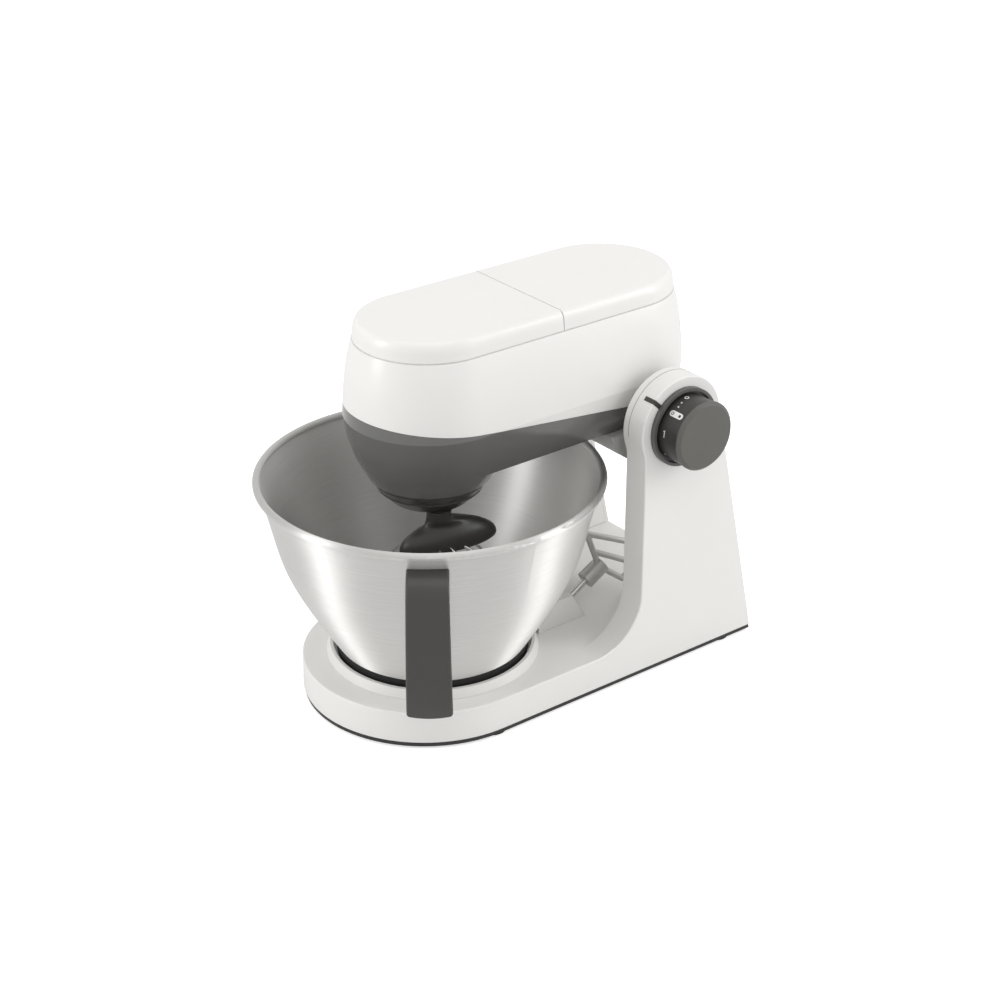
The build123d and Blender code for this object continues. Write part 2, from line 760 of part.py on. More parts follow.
def mark_run(radius):
    bend = radius * math.sin(math.pi / 4)
    top = (round_x, round_z + radius)
    side = (round_x + radius, round_z)
    return [
        Line((round_x - INDEX_LEN, round_z + radius), top),
        ThreePointArc(top, (round_x + bend, round_z + bend), side),
        Line(side, (round_x + radius, BEZEL_R)),
    ]


mark_outer = mark_run(mark_out)
mark_inner = mark_run(mark_in)
mark_ends = [
    Line(mark_outer[0] @ 0, mark_inner[0] @ 0),
    Line(mark_outer[-1] @ 1, mark_inner[-1] @ 1),
]
mark_face = Plane.XZ * make_face(mark_outer + mark_inner + mark_ends)
mark = extrude(mark_face, INDEX_WIDTH / 2, both=True)
mark = Pos(0, HINGE_Y, HINGE_Z) * Rot(INDEX_ANGLE, 0, 0) * mark
stand = stand - mark
save("index_mark", mark)

# Cord gland, bottom screws, feet and bottom plate
gland_z = SHELL_BOTTOM + GLAND_RISE
gland_y = BASE_REAR_Y - (gland_z - SHELL_BOTTOM) * math.tan(rear_lean(0))


def gland_rod(radius, back, ahead):
    return rod((GLAND_X, gland_y - back, gland_z), (GLAND_X, gland_y + ahead, gland_z), radius)


gland_back = GLAND_LEN + GLAND_FLANGE_T
gland_bore = gland_rod(GLAND_BORE_R, gland_back + OVERCUT, OVERCUT)
gland_flange = gland_rod(GLAND_FLANGE_R, gland_back, -2 * GLAND_FLANGE_T)
gland = gland_rod(GLAND_R, GLAND_LEN, -GLAND_SET_IN)
gland = gland + (gland_flange & base_form(SHELL_WALL, 0, BASE_TOP))
stand = stand - gland_rod(GLAND_R, gland_back, GLAND_FLANGE_T)
save("cord_gland", gland - gland_bore)
plate_foot = base_form(PLATE_INSET, FOOT_HEIGHT, SHELL_BOTTOM)
base_screw_spots = [(side * x, y) for x, y in BASE_SCREW_SPOTS for side in (-1, 1)]
base_screws = []
post_limit = base_form(SHELL_WALL / 2, 0, BASE_TOP - SHELL_WALL / 2)
for x, y in base_screw_spots:
    post = disc(BOSS_R, SHELL_BOTTOM, BASE_TOP, x, y) & post_limit
    shank = disc(SCREW_R, FOOT_HEIGHT + SCREW_HEAD_H, BASE_TOP - BASE_SCREW_TOP, x, y)
    screw = shank + disc(SCREW_HEAD_R, FOOT_HEIGHT, FOOT_HEIGHT + SCREW_HEAD_H, x, y)
    stand = stand + post - shank
    plate_foot = plate_foot - screw
    base_screws.append(screw)
save("bottom_plate", plate_foot)
save("bottom_screws", group(base_screws))
save("stand_shell", stand)
feet = []
for x in (-FOOT_X, FOOT_X):
    for y in (FOOT_FRONT_Y, FOOT_REAR_Y):
        feet.append(disc(FOOT_R, 0, FOOT_HEIGHT, x, y))
save("rubber_feet", group(feet))

# Power board on the bottom plate
board_z = SHELL_BOTTOM + BOARD_RISE
board_top = board_z + BOARD_T
filter_y = BOARD_FRONT_Y + FILTER_SIZE / 2
board = block(-BOARD_HALF, BOARD_HALF, BOARD_FRONT_Y, BOARD_REAR_Y, board_z, board_top)
board = board + block(-FILTER_SIZE, 0, filter_y, filter_y + FILTER_SIZE, board_top, board_top + FILTER_H)
capacitor_y = BOARD_REAR_Y - FILTER_SIZE + BOARD_RISE
board = board + disc(CAPACITOR_R, board_top, board_top + CAPACITOR_H, BOARD_HALF / 2, capacitor_y)
post_x = BOARD_HALF - BOARD_POST_INSET
for x in (-post_x, post_x):
    for y in (BOARD_FRONT_Y + BOARD_POST_INSET, BOARD_REAR_Y - BOARD_POST_INSET):
        board = board + disc(BOARD_POST_R, SHELL_BOTTOM, board_z, x, y)
save("power_board", board)

# Tool rack
lean = math.radians(TOOL_LEAN)
out_dir = (0, math.cos(lean), math.sin(lean))
up_dir = (0, -math.sin(lean), math.cos(lean))


def tool_plane(x):
    return Plane(origin=(x, MOUTH_Y, MOUTH_Z), x_dir=up_dir, z_dir=out_dir)


def along(x, n, s):
    spot = tool_plane(x) * Pos(n, 0, s)
    return tuple(spot.position)


mouth_low = MOUTH_Y + (MOUTH_Z - BASE_TOP) * math.tan(lean)
mouth_high = MOUTH_Y - (RACK_TOP - MOUTH_Z) * math.tan(lean)
rack_line = Polyline(
    (RACK_FRONT_Y, BASE_TOP),
    (mouth_low, BASE_TOP),
    (mouth_high, RACK_TOP),
    (RACK_FRONT_Y + RACK_SLOPE, RACK_TOP),
    close=True,
)
rack = side_plate(make_face(rack_line), -RACK_HALF, RACK_HALF)
rack = rack - disc(SEAT_R + RACK_GAP, 0, FAR)
for x in (-TOOL_X, TOOL_X):
    rack = rack - rod(along(x, 0, -SOCKET_DEPTH), along(x, 0, OVERCUT), TOOL_SHAFT_R + SOCKET_GAP)
save("tool_rack", rack)

# Stored flat beater
hub_end = TOOL_NECK + TOOL_HUB_LEN
shaft = rod(along(TOOL_X, 0, -SOCKET_DEPTH), along(TOOL_X, 0, TOOL_NECK + SHAFT_IN_HUB), TOOL_SHAFT_R)
beater_hub = rod(along(TOOL_X, 0, TOOL_NECK), along(TOOL_X, 0, hub_end), TOOL_HUB_R)
beater_nodes = {name: (n, hub_end + run) for name, (n, run) in BEATER_SHAPE.items()}
beater_bars = (
    ("hub", "shoulder"),
    ("shoulder", "toe"),
    ("toe", "heel"),
    ("heel", "hub"),
    ("rib_top", "rib_end"),
)
beater = beater_hub
for a, b in beater_bars:
    beater = beater + rod(along(TOOL_X, *beater_nodes[a]), along(TOOL_X, *beater_nodes[b]), BEATER_BAR_R)
for name in ("shoulder", "toe", "heel"):
    beater = beater + Pos(*along(TOOL_X, *beater_nodes[name])) * Sphere(BEATER_BAR_R)
beater = beater - shaft
save("beater_frame", beater)
save("beater_shaft", shaft)

# Stored dough hook
hook_start = hub_end - HOOK_BURY
hook_shaft_end = hook_start + OVERCUT
hook_hub_r = TOOL_HUB_R + HOOK_HUB_EXTRA
hook_shaft = rod(along(-TOOL_X, 0, -SOCKET_DEPTH), along(-TOOL_X, 0, hook_shaft_end), TOOL_SHAFT_R)
hook_hub = rod(along(-TOOL_X, 0, TOOL_NECK), along(-TOOL_X, 0, hub_end), hook_hub_r)
hook_guard = rod(along(-TOOL_X, 0, hub_end - HOOK_GUARD_T), along(-TOOL_X, 0, hub_end), 2 * TOOL_HUB_R)
hook_top = hub_end + HOOK_LEAD
hook_tip = hook_top + HOOK_REACH
hook_bend = HOOK_REACH * math.sin(math.pi / 4)
hook_seat = tool_plane(-TOOL_X)
hook_path = [
    Line((0, 0, hook_start), (0, 0, hook_top)),
    ThreePointArc(
        (0, 0, hook_top),
        (HOOK_REACH - hook_bend, 0, hook_top + hook_bend),
        (HOOK_REACH, 0, hook_tip),
    ),
]
hook_wire = Wire(hook_path)
hook_rod = sweep(Pos(0, 0, hook_start) * Circle(HOOK_ROD_R), path=hook_wire)
hook_rod = hook_rod + Pos(HOOK_REACH, 0, hook_tip) * Sphere(HOOK_ROD_R)
hook_rod = hook_seat * hook_rod + hook_shaft
save("dough_hook_hub", hook_hub + hook_guard - hook_rod)
save("dough_hook", hook_rod)


# Head shells
def head_side(inset):
    height = SEAM_Z - SIDE_LOW_Z
    drop = SIDE_LOW_Z - NOSE_Z - inset
    side = [(HEAD_HALF * k - inset, 0, SIDE_LOW_Z + t * height) for k, t in SIDE_SHAPE]
    hull = [(HEAD_HALF * k - inset, 0, SIDE_LOW_Z - t * drop) for k, t in HULL_SHAPE[::-1]]
    low = hull[0][2]
    return [
        Line((0, 0, low), hull[0]),
        Spline(*hull),
        Spline(*side),
        Line(side[-1], (0, 0, SEAM_Z)),
        Line((0, 0, SEAM_Z), (0, 0, low)),
    ]


def head_solid(inset):
    section = head_side(inset)
    floor = HULL_FLOOR_Z + inset
    nose_back = revolve(make_face(section), Axis.Z, 180)
    under_neck = block(-FAR, FAR, 0, FAR, 0, floor) - nose_back
    return capsule(section, 0, HINGE_Y) - under_neck


def above_split(drop):
    room = Pos(0, 0, SPLIT_Z - drop) * Rot(-SPLIT_DEG, 0, 0)
    return room * Pos(0, 0, FAR / 2) * Box(FAR * 2, FAR * 2, FAR)


barrel_space = bar_x(BARREL_R + COVER_GAP, -FAR, FAR)
shell = head_solid(0) - head_solid(HEAD_WALL)
side_shell = shell & above_split(0)
side_shell = side_shell - barrel_space
save("head_side_shell", side_shell)
hull = shell - above_split(0)
hull = hull - disc(HUB_TOP_R + FREE_GAP, 0, NOSE_Z + HEAD_WALL + OVERCUT)
hull = hull - barrel_space
front_room = block(-FAR, FAR, -FAR, HINGE_Y, 0, FAR)
lower_shell = hull & front_room
post_spots = [(x, y) for y in HEAD_POST_YS for x in (-HEAD_POST_X, HEAD_POST_X)]
for x, y in post_spots:
    lower_shell = lower_shell + disc(BOSS_R, HULL_FLOOR_Z + HEAD_WALL / 2, CHASSIS_Z, x, y)
rear_cover = hull - front_room
save("rear_lower_cover", rear_cover)


# Top covers
def crown(inset):
    height = HEAD_TOP - SEAM_Z
    points = [(HEAD_HALF * k - inset, SEAM_Z + t * height - inset * (t > 0.5)) for k, t in CROWN_SHAPE]
    groove = HEAD_HALF * CROWN_SHAPE[0][0] - SEAM_GROOVE - inset
    return [
        Line((0, 0, SEAM_Z), (groove, 0, SEAM_Z)),
        Line((groove, 0, SEAM_Z), (groove, 0, points[0][1])),
        Line((groove, 0, points[0][1]), (points[0][0], 0, points[0][1])),
        Spline(*[(w, 0, z) for w, z in points]),
        Line((points[-1][0], 0, points[-1][1]), (0, 0, points[-1][1])),
        Line((0, 0, points[-1][1]), (0, 0, SEAM_Z)),
    ]


crown_shell = capsule(crown(0), 0, HINGE_Y) - capsule(crown(HEAD_WALL), 0, HINGE_Y)
seam_half = SEAM_GROOVE / 2
save("front_top_cover", crown_shell & block(-FAR, FAR, -FAR, CROSS_SEAM_Y - seam_half, 0, FAR))
save("rear_top_cover", crown_shell & block(-FAR, FAR, CROSS_SEAM_Y + seam_half, FAR, 0, FAR))

# Hinge barrel
barrel_end = LEG_IN - BARREL_GAP
barrel_in = barrel_end - BARREL_WALL
fairing_in = FAIRING_HALF - BARREL_WALL
below_hull = block(-FAR, FAR, -FAR, FAR, 0, HULL_FLOOR_Z)
fairing_space = block(-FAR, FAR, -FAR, FAR, 0, HULL_FLOOR_Z - BARREL_WALL)
barrel = bar_x(BARREL_R, -barrel_end, barrel_end)
barrel = barrel + (bar_x(FAIRING_R, -FAIRING_HALF, FAIRING_HALF) & below_hull)
barrel = barrel - bar_x(BARREL_R - BARREL_WALL, -barrel_in, barrel_in)
barrel = barrel - (bar_x(FAIRING_R - BARREL_WALL, -fairing_in, fairing_in) & fairing_space)
barrel = barrel - bar_x(PIN_R + FREE_GAP, -FAR, FAR)
arm_low = HINGE_Z - ARM_DROP
for side in (-1, 1):
    x0 = min(side * (LUG_X - OVERCUT), side * (LUG_X + LUG_WIDTH + OVERCUT))
    x1 = x0 + LUG_WIDTH + 2 * OVERCUT
    window = block(x0, x1, 0, HINGE_Y - PIN_R, arm_low - OVERCUT, CHASSIS_TOP + OVERCUT)
    barrel = barrel - window
for turn in (0.0, TILT_DEG):
    swing = math.radians(turn)
    y = HINGE_Y + BOLT_ORBIT * math.sin(swing)
    z = HINGE_Z - BOLT_ORBIT * math.cos(swing)
    barrel = barrel - bar_x(BOLT_R + FREE_GAP, barrel_end - 2 * BARREL_WALL, barrel_end + OVERCUT, y, z)
save("hinge_barrel", barrel)

# Chassis of the head
chassis_end = MOTOR_Y + CHASSIS_TAIL
plan = make_face(
    [
        Line((-CHASSIS_HALF, 0), (-CHASSIS_HALF, chassis_end)),
        Line((-CHASSIS_HALF, chassis_end), (CHASSIS_HALF, chassis_end)),
        Line((CHASSIS_HALF, chassis_end), (CHASSIS_HALF, 0)),
        ThreePointArc((CHASSIS_HALF, 0), (0, -CHASSIS_HALF), (-CHASSIS_HALF, 0)),
    ]
)
chassis = Pos(0, 0, CHASSIS_Z) * extrude(plan, CHASSIS_T)
ring_top = RING_Z + PLANET_FACE + OVERCUT + RING_WEB
bearing_low = ring_top
chassis = chassis + disc(BOSS_RING_R, bearing_low, CHASSIS_TOP)
chassis = chassis + disc(LAY_BEARING_R + LAY_BOSS, CHASSIS_Z - LAY_BEARING_H, CHASSIS_TOP, 0, LAY_Y)
bushes = []
for side in (-1, 1):
    x0 = min(side * LUG_X, side * (LUG_X + LUG_WIDTH))
    arm = block(x0, x0 + LUG_WIDTH, chassis_end - ARM_LAP, HINGE_Y, arm_low, CHASSIS_TOP)
    ring = bar_x(LUG_R, side * LUG_X, side * (LUG_X + LUG_WIDTH))
    chassis = chassis + (arm & front_room) + ring
    chassis = chassis - bar_x(BUSH_R, side * (LUG_X - OVERCUT), side * (LUG_X + LUG_WIDTH + OVERCUT))
    bushes.append(tube_x(BUSH_R, PIN_R + RUN_GAP, side * LUG_X, side * (LUG_X + LUG_WIDTH)))
for x, y in PILLAR_SPOTS:
    chassis = chassis + disc(PILLAR_R, CHASSIS_Z, COVER_PLATE_Z, x, y)
chassis = chassis - disc(BEARING_R, bearing_low - OVERCUT, bearing_low + BEARING_H)
chassis = chassis - disc(MAIN_SHAFT_R + FREE_GAP, 0, CHASSIS_TOP + OVERCUT)
chassis = chassis - disc(LAY_BEARING_R, 0, CHASSIS_Z, 0, LAY_Y)
chassis = chassis - disc(LAYSHAFT_R + FREE_GAP, 0, CHASSIS_TOP + OVERCUT, 0, LAY_Y)
chassis_screws = []
for x, y in post_spots:
    shank = disc(SCREW_R, HULL_FLOOR_Z + CHASSIS_SCREW_FLOOR, CHASSIS_TOP, x, y)
    screw = shank + disc(SCREW_HEAD_R, CHASSIS_TOP, CHASSIS_TOP + SCREW_HEAD_H, x, y)
    chassis = chassis - shank
    lower_shell = lower_shell - shank
    chassis_screws.append(screw)
save("head_lower_shell", lower_shell)
save("hinge_bushes", group(bushes))

# Gear cover
plate_rear = LAY_Y + COVER_PLATE_TAIL
plate_top = COVER_PLATE_Z + COVER_PLATE_T
bearing_top = COVER_PLATE_Z + BEARING_H
lay_seat_z = bearing_top - LAY_BEARING_H
gear_cover = block(
    -COVER_PLATE_HALF,
    COVER_PLATE_HALF,
    COVER_PLATE_FRONT,
    plate_rear,
    COVER_PLATE_Z,
    plate_top,
)
gear_cover = gear_cover + disc(BOSS_RING_R, COVER_PLATE_Z, bearing_top)
gear_cover = gear_cover + disc(LAY_BEARING_R + LAY_BOSS, COVER_PLATE_Z, bearing_top, 0, LAY_Y)
gear_cover = gear_cover - disc(BEARING_R, COVER_PLATE_Z, bearing_top)
gear_cover = gear_cover - disc(LAY_BEARING_R, lay_seat_z, bearing_top, 0, LAY_Y)
gear_cover = gear_cover - disc(LAYSHAFT_R + FREE_GAP, COVER_PLATE_Z - OVERCUT, FAR, 0, LAY_Y)
gear_screws = []
for x, y in PILLAR_SPOTS:
    shank = disc(SCREW_R, COVER_PLATE_Z - GEAR_SCREW_DEPTH, plate_top, x, y)
    screw = shank + disc(SCREW_HEAD_R, plate_top, plate_top + SCREW_HEAD_H, x, y)
    gear_cover = gear_cover - shank
    chassis = chassis - shank
    gear_screws.append(screw)
save("head_chassis", chassis)
save("gear_cover", gear_cover)
save("head_screws", group(chassis_screws + gear_screws))

# Bearings
main_rings = [
    tube(BEARING_R, MAIN_SHAFT_R + RUN_GAP, bearing_low, bearing_low + BEARING_H),
    tube(BEARING_R, MAIN_SHAFT_R + RUN_GAP, COVER_PLATE_Z, bearing_top),
]
save("main_bearings", group(main_rings))
lay_rings = [
    tube(LAY_BEARING_R, LAYSHAFT_R + RUN_GAP, CHASSIS_Z - LAY_BEARING_H, CHASSIS_Z, 0, LAY_Y),
    tube(LAY_BEARING_R, LAYSHAFT_R + RUN_GAP, lay_seat_z, bearing_top, 0, LAY_Y),
]
save("layshaft_bearings", group(lay_rings))

# Ring gear held on the bearing boss
ring_outline = gear_outline(RING_TEETH, PLANET_MODULE, TOOTH_TIP, TOOTH_ROOT, 1 + BACKLASH, ORBIT_ANGLE)
ring_space = Pos(0, 0, RING_Z) * extrude(ring_outline, PLANET_FACE)
ring_gear = disc(RING_R, RING_Z, ring_top) - ring_space
ring_room_r = PLANET_MODULE * RING_TEETH / 2
ring_gear = ring_gear - disc(ring_room_r, ring_top - RING_WEB - 2 * OVERCUT, ring_top - RING_WEB)
ring_gear = ring_gear - disc(MAIN_SHAFT_R + FREE_GAP, 0, FAR)
save("ring_gear", ring_gear)

# Planetary hub, shaft and main gear
hub_line = [
    (0, HUB_BOTTOM_Z),
    (HUB_BOTTOM_R - HUB_CORNER, HUB_BOTTOM_Z),
    (HUB_BOTTOM_R, HUB_BOTTOM_Z + HUB_CORNER),
    (HUB_LIP_R - HUB_STEP, HUB_LIP_Z - HUB_STEP),
    (HUB_LIP_R, HUB_LIP_Z),
    (HUB_LIP_R, HUB_LIP_Z + HUB_STEP),
    (HUB_TOP_R, NOSE_Z - HUB_SHOULDER),
    (HUB_TOP_R, HUB_TOP_Z),
    (0, HUB_TOP_Z),
]
shaft_floor = HUB_BOTTOM_Z + HUB_FLOOR
hub = turned(hub_line)
hub = hub - disc(MAIN_SHAFT_R, shaft_floor, FAR)
hub = hub - disc(SPINDLE_BUSH_R, 0, FAR, ORBIT_X, ORBIT_Y)
save("planetary_hub", hub)
main_shaft = disc(MAIN_SHAFT_R, shaft_floor, bearing_top)
save("main_shaft", main_shaft)
main_gear = Pos(0, 0, GEAR_Z) * gear(MAIN_TEETH, DRIVE_MODULE, DRIVE_FACE, MESH_TURN)
main_gear = main_gear - disc(MAIN_SHAFT_R, 0, FAR)
save("main_gear", main_gear)
bush_z = HUB_BOTTOM_Z + BUSH_SET_IN
bush = tube(SPINDLE_BUSH_R, SPINDLE_R + RUN_GAP, bush_z, HUB_TOP_Z, ORBIT_X, ORBIT_Y)
save("spindle_bush", bush)

# Tool spindle, planet pinion and whisk
spindle_low = DOME_TOP_Z - SPINDLE_BURY
spindle = disc(SPINDLE_R, spindle_low, RING_Z + PLANET_FACE, ORBIT_X, ORBIT_Y)
save("tool_spindle", spindle)
pinion = gear(PLANET_TEETH, PLANET_MODULE, PLANET_FACE - OVERCUT, ORBIT_ANGLE)
pinion = Pos(ORBIT_X, ORBIT_Y, RING_Z) * pinion - spindle
save("planet_pinion", pinion)
wires = []
dome_floor = DOME_TOP_Z - DOME_H
for loop in range(WHISK_LOOPS):
    reach = WHISK_R - loop * WHISK_STAGGER
    top = (WHISK_TOP_R, dome_floor + WIRE_BURY)
    rise = top[1] - WHISK_MID_Z
    centre = (reach * reach - top[0] * top[0] - rise * rise) / (2 * (reach - top[0]))
    radius = reach - centre
    sweep_angle = math.asin(rise / radius) / 2
    via = (centre + radius * math.cos(sweep_angle), WHISK_MID_Z + radius * math.sin(sweep_angle))
    path = Wire(
        [
            ThreePointArc((top[0], 0, top[1]), (via[0], 0, via[1]), (reach, 0, WHISK_MID_Z)),
            ThreePointArc((reach, 0, WHISK_MID_Z), (0, 0, WHISK_MID_Z - reach), (-reach, 0, WHISK_MID_Z)),
            ThreePointArc((-reach, 0, WHISK_MID_Z), (-via[0], 0, via[1]), (-top[0], 0, top[1])),
        ]
    )
    start = Plane(origin=path @ 0, z_dir=path % 0)
    wire = sweep(start * Circle(WHISK_WIRE_R), path=path)
    turn = Rot(0, 0, 180.0 * loop / WHISK_LOOPS)
    wires.append(Pos(ORBIT_X, ORBIT_Y, 0) * turn * wire)
save("whisk_wires", group(wires))
dome_rings = []
for share, depth in DOME_SHAPE:
    ring = Ellipse(DOME_LONG * share, DOME_SHORT * share)
    dome_rings.append(Pos(0, 0, DOME_TOP_Z - DOME_H * depth) * ring)
dome = loft(dome_rings, ruled=True)
neck = disc(NECK_R, DOME_TOP_Z - DOME_H * NECK_BURY, HUB_BOTTOM_Z - FREE_GAP)
whisk_hub = Pos(ORBIT_X, ORBIT_Y, 0) * (Rot(0, 0, DOME_TURN) * Pos(DOME_SHIFT, 0, 0) * dome + neck) - spindle
for wire in wires:
    whisk_hub = whisk_hub - wire
save("whisk_hub", whisk_hub)

# Layshaft with its pinion and pulley
pinion_turn = 180.0 / PINION_TEETH - MESH_TURN
lay_low = CHASSIS_Z - LAY_BEARING_H
layshaft = disc(LAYSHAFT_R, lay_low, PULLEY_Z + PULLEY_H)
lay_pinion = gear(PINION_TEETH, DRIVE_MODULE, DRIVE_FACE + OVERCUT, pinion_turn)
layshaft = layshaft + Pos(0, 0, GEAR_Z - OVERCUT / 2) * lay_pinion
save("layshaft_pinion", Pos(0, LAY_Y, 0) * layshaft)


def pulley(radius, bore):
    belt_low = PULLEY_Z + (PULLEY_H - BELT_W) / 2 - BELT_GAP
    belt_high = PULLEY_Z + (PULLEY_H + BELT_W) / 2 + BELT_GAP
    body = disc(radius + PULLEY_FLANGE, PULLEY_Z, belt_low) + disc(radius, PULLEY_Z, PULLEY_Z + PULLEY_H)
    body = body + disc(radius + PULLEY_FLANGE, belt_high, PULLEY_Z + PULLEY_H)
    return body - disc(bore, 0, FAR)


save("layshaft_pulley", Pos(0, LAY_Y, 0) * pulley(LAY_PULLEY_R, LAYSHAFT_R))


# Drive belt
def belt_loop(extra):
    gap = MOTOR_Y - LAY_Y
    big = LAY_PULLEY_R + BELT_GAP + extra
    small = MOTOR_PULLEY_R + BELT_GAP + extra
    slope = math.acos((big - small) / gap)
    big_r = (big * math.sin(slope), LAY_Y + big * math.cos(slope))
    small_r = (small * math.sin(slope), MOTOR_Y + small * math.cos(slope))
    big_l = (-big_r[0], big_r[1])
    small_l = (-small_r[0], small_r[1])
    return make_face(
        [
            Line(big_r, small_r),
            ThreePointArc(small_r, (0, MOTOR_Y + small), small_l),
            Line(small_l, big_l),
            ThreePointArc(big_l, (0, LAY_Y - big), big_r),
        ]
    )


belt = extrude(belt_loop(BELT_T), BELT_W) - extrude(belt_loop(0), BELT_W)
save("drive_belt", Pos(0, 0, PULLEY_Z + (PULLEY_H - BELT_W) / 2) * belt)

# Motor
can_top = CHASSIS_TOP + MOTOR_H
can = disc(MOTOR_R, CHASSIS_TOP, can_top, 0, MOTOR_Y)
can = can - disc(MOTOR_R - MOTOR_WALL, CHASSIS_TOP + MOTOR_WALL, can_top - MOTOR_WALL, 0, MOTOR_Y)
can = can - disc(MOTOR_SHAFT_R + RUN_GAP, CHASSIS_TOP + SHAFT_POCKET, FAR, 0, MOTOR_Y)
save("motor_can", can)
magnet_out = MOTOR_R - MOTOR_WALL
magnet_ring = tube(magnet_out, magnet_out - MAGNET_T, CHASSIS_TOP + MAGNET_END, can_top - MAGNET_END)
magnets = []
for spot in (0, 180):
    sector = extrude(wedge(magnet_out * 2, MAGNET_SPAN, spot), FAR)
    magnets.append(Pos(0, MOTOR_Y, 0) * (magnet_ring & sector))
save("motor_magnets", group(magnets))
core_low = CHASSIS_TOP + CORE_LOW
core_high = can_top - CORE_HIGH
rotor = disc(ROTOR_R, core_low, core_high)
rotor = rotor + disc(COMMUTATOR_R, core_high, can_top - MOTOR_WALL - COMMUTATOR_GAP)
notch = block(
    ROTOR_R - SLOT_DEPTH,
    ROTOR_R + OVERCUT,
    -SLOT_WIDTH / 2,
    SLOT_WIDTH / 2,
    core_low - OVERCUT,
    core_high + OVERCUT,
)
for slot in range(SLOT_COUNT):
    rotor = rotor - Rot(0, 0, 360.0 * slot / SLOT_COUNT) * notch
rotor = rotor + disc(MOTOR_SHAFT_R, CHASSIS_TOP + SHAFT_FLOOR, PULLEY_Z + PULLEY_H)
save("motor_rotor", Pos(0, MOTOR_Y, 0) * rotor)
save("motor_pulley", Pos(0, MOTOR_Y, 0) * pulley(MOTOR_PULLEY_R, MOTOR_SHAFT_R))
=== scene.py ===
import math

import bmesh
import bpy
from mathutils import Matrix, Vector


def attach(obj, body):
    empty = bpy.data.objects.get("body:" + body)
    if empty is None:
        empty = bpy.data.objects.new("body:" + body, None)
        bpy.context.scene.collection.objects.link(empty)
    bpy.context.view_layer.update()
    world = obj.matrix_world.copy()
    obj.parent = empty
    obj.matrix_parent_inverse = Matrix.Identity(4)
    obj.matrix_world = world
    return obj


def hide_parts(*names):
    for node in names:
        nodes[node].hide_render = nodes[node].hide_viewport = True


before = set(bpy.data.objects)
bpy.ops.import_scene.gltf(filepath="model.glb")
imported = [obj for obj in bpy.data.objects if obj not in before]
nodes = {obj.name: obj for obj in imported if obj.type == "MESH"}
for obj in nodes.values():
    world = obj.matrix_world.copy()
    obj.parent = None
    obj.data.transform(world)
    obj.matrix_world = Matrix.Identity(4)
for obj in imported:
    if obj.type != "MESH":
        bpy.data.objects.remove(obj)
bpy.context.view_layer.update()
scene = bpy.context.scene
scene.view_settings.view_transform = "Standard"

# Places on the mixer in metres, as the solids have them
BOWL_Y = -0.0535
HINGE_Y = 0.0975
HINGE_Z = 0.1915
DRUM_R = 0.0244
LEG_IN = 0.069
LEG_TOP_R = 0.036
SPINDLE_X = 0.02054
SPINDLE_Y = BOWL_Y - 0.00788

# Camera: the photograph's angle
CAM_AZIMUTH = 52.2
CAM_ELEVATION = 26.9
CAM_DISTANCE = 1.530
CAM_TARGET = Vector((0.0, 0.0609 + BOWL_Y, 0.1259))
CAM_LENS = 77.4
CAM_SENSOR = 36.0
CAM_NEAR = 0.05
CAM_FAR = 200.0


# Materials
CLOUD_SCALE = 14.0
GLOSS_SCALE = 60.0
GRAIN_STRENGTH = 0.35
COAT_ROUGH = 0.08
METAL_STRENGTH = 0.3
BRUSH_STRENGTH = 0.4
BRUSH_DARK = 0.9
BRUSH_LIGHT = 1.09
ROUGH_LOW = 0.9
ROUGH_HIGH = 1.12
METAL_ROUGH_LOW = 0.85
METAL_ROUGH_HIGH = 1.2
QUARTER_TURN = 0.25


def new_material(name):
    material = bpy.data.materials.new(name)
    material.use_nodes = True
    tree = material.node_tree
    return material, tree, tree.nodes["Principled BSDF"]


def add(tree, kind, **settings):
    node = tree.nodes.new(kind)
    for key, value in settings.items():
        setattr(node, key, value)
    return node


def noise(tree, vector, scale, detail=3.0, roughness=0.55):
    node = add(tree, "ShaderNodeTexNoise")
    node.inputs["Scale"].default_value = scale
    node.inputs["Detail"].default_value = detail
    node.inputs["Roughness"].default_value = roughness
    tree.links.new(vector, node.inputs["Vector"])
    return node.outputs["Fac"]


def spread(tree, value, low, high, start=0.3, end=0.7):
    node = add(tree, "ShaderNodeMapRange")
    node.inputs["From Min"].default_value = start
    node.inputs["From Max"].default_value = end
    node.inputs["To Min"].default_value = low
    node.inputs["To Max"].default_value = high
    tree.links.new(value, node.inputs["Value"])
    return node.outputs["Result"]


def blend_colours(tree, value, first, second, start=0.3, end=0.7):
    ramp = add(tree, "ShaderNodeValToRGB")
    ramp.color_ramp.elements[0].position = start
    ramp.color_ramp.elements[1].position = end
    ramp.color_ramp.elements[0].color = (*first, 1)
    ramp.color_ramp.elements[1].color = (*second, 1)
    tree.links.new(value, ramp.inputs["Fac"])
    return ramp.outputs["Color"]


def bump(tree, height, strength, distance):
    node = add(tree, "ShaderNodeBump")
    node.inputs["Strength"].default_value = strength
    node.inputs["Distance"].default_value = distance
    tree.links.new(height, node.inputs["Height"])
    return node


def soft_edges(tree, surface, radius):
    """Moulded edges are never knife-sharp: the shading rounds them a little."""
    node = add(tree, "ShaderNodeBevel", samples=4)
    node.inputs["Radius"].default_value = radius
    tree.links.new(node.outputs["Normal"], surface.inputs["Normal"])


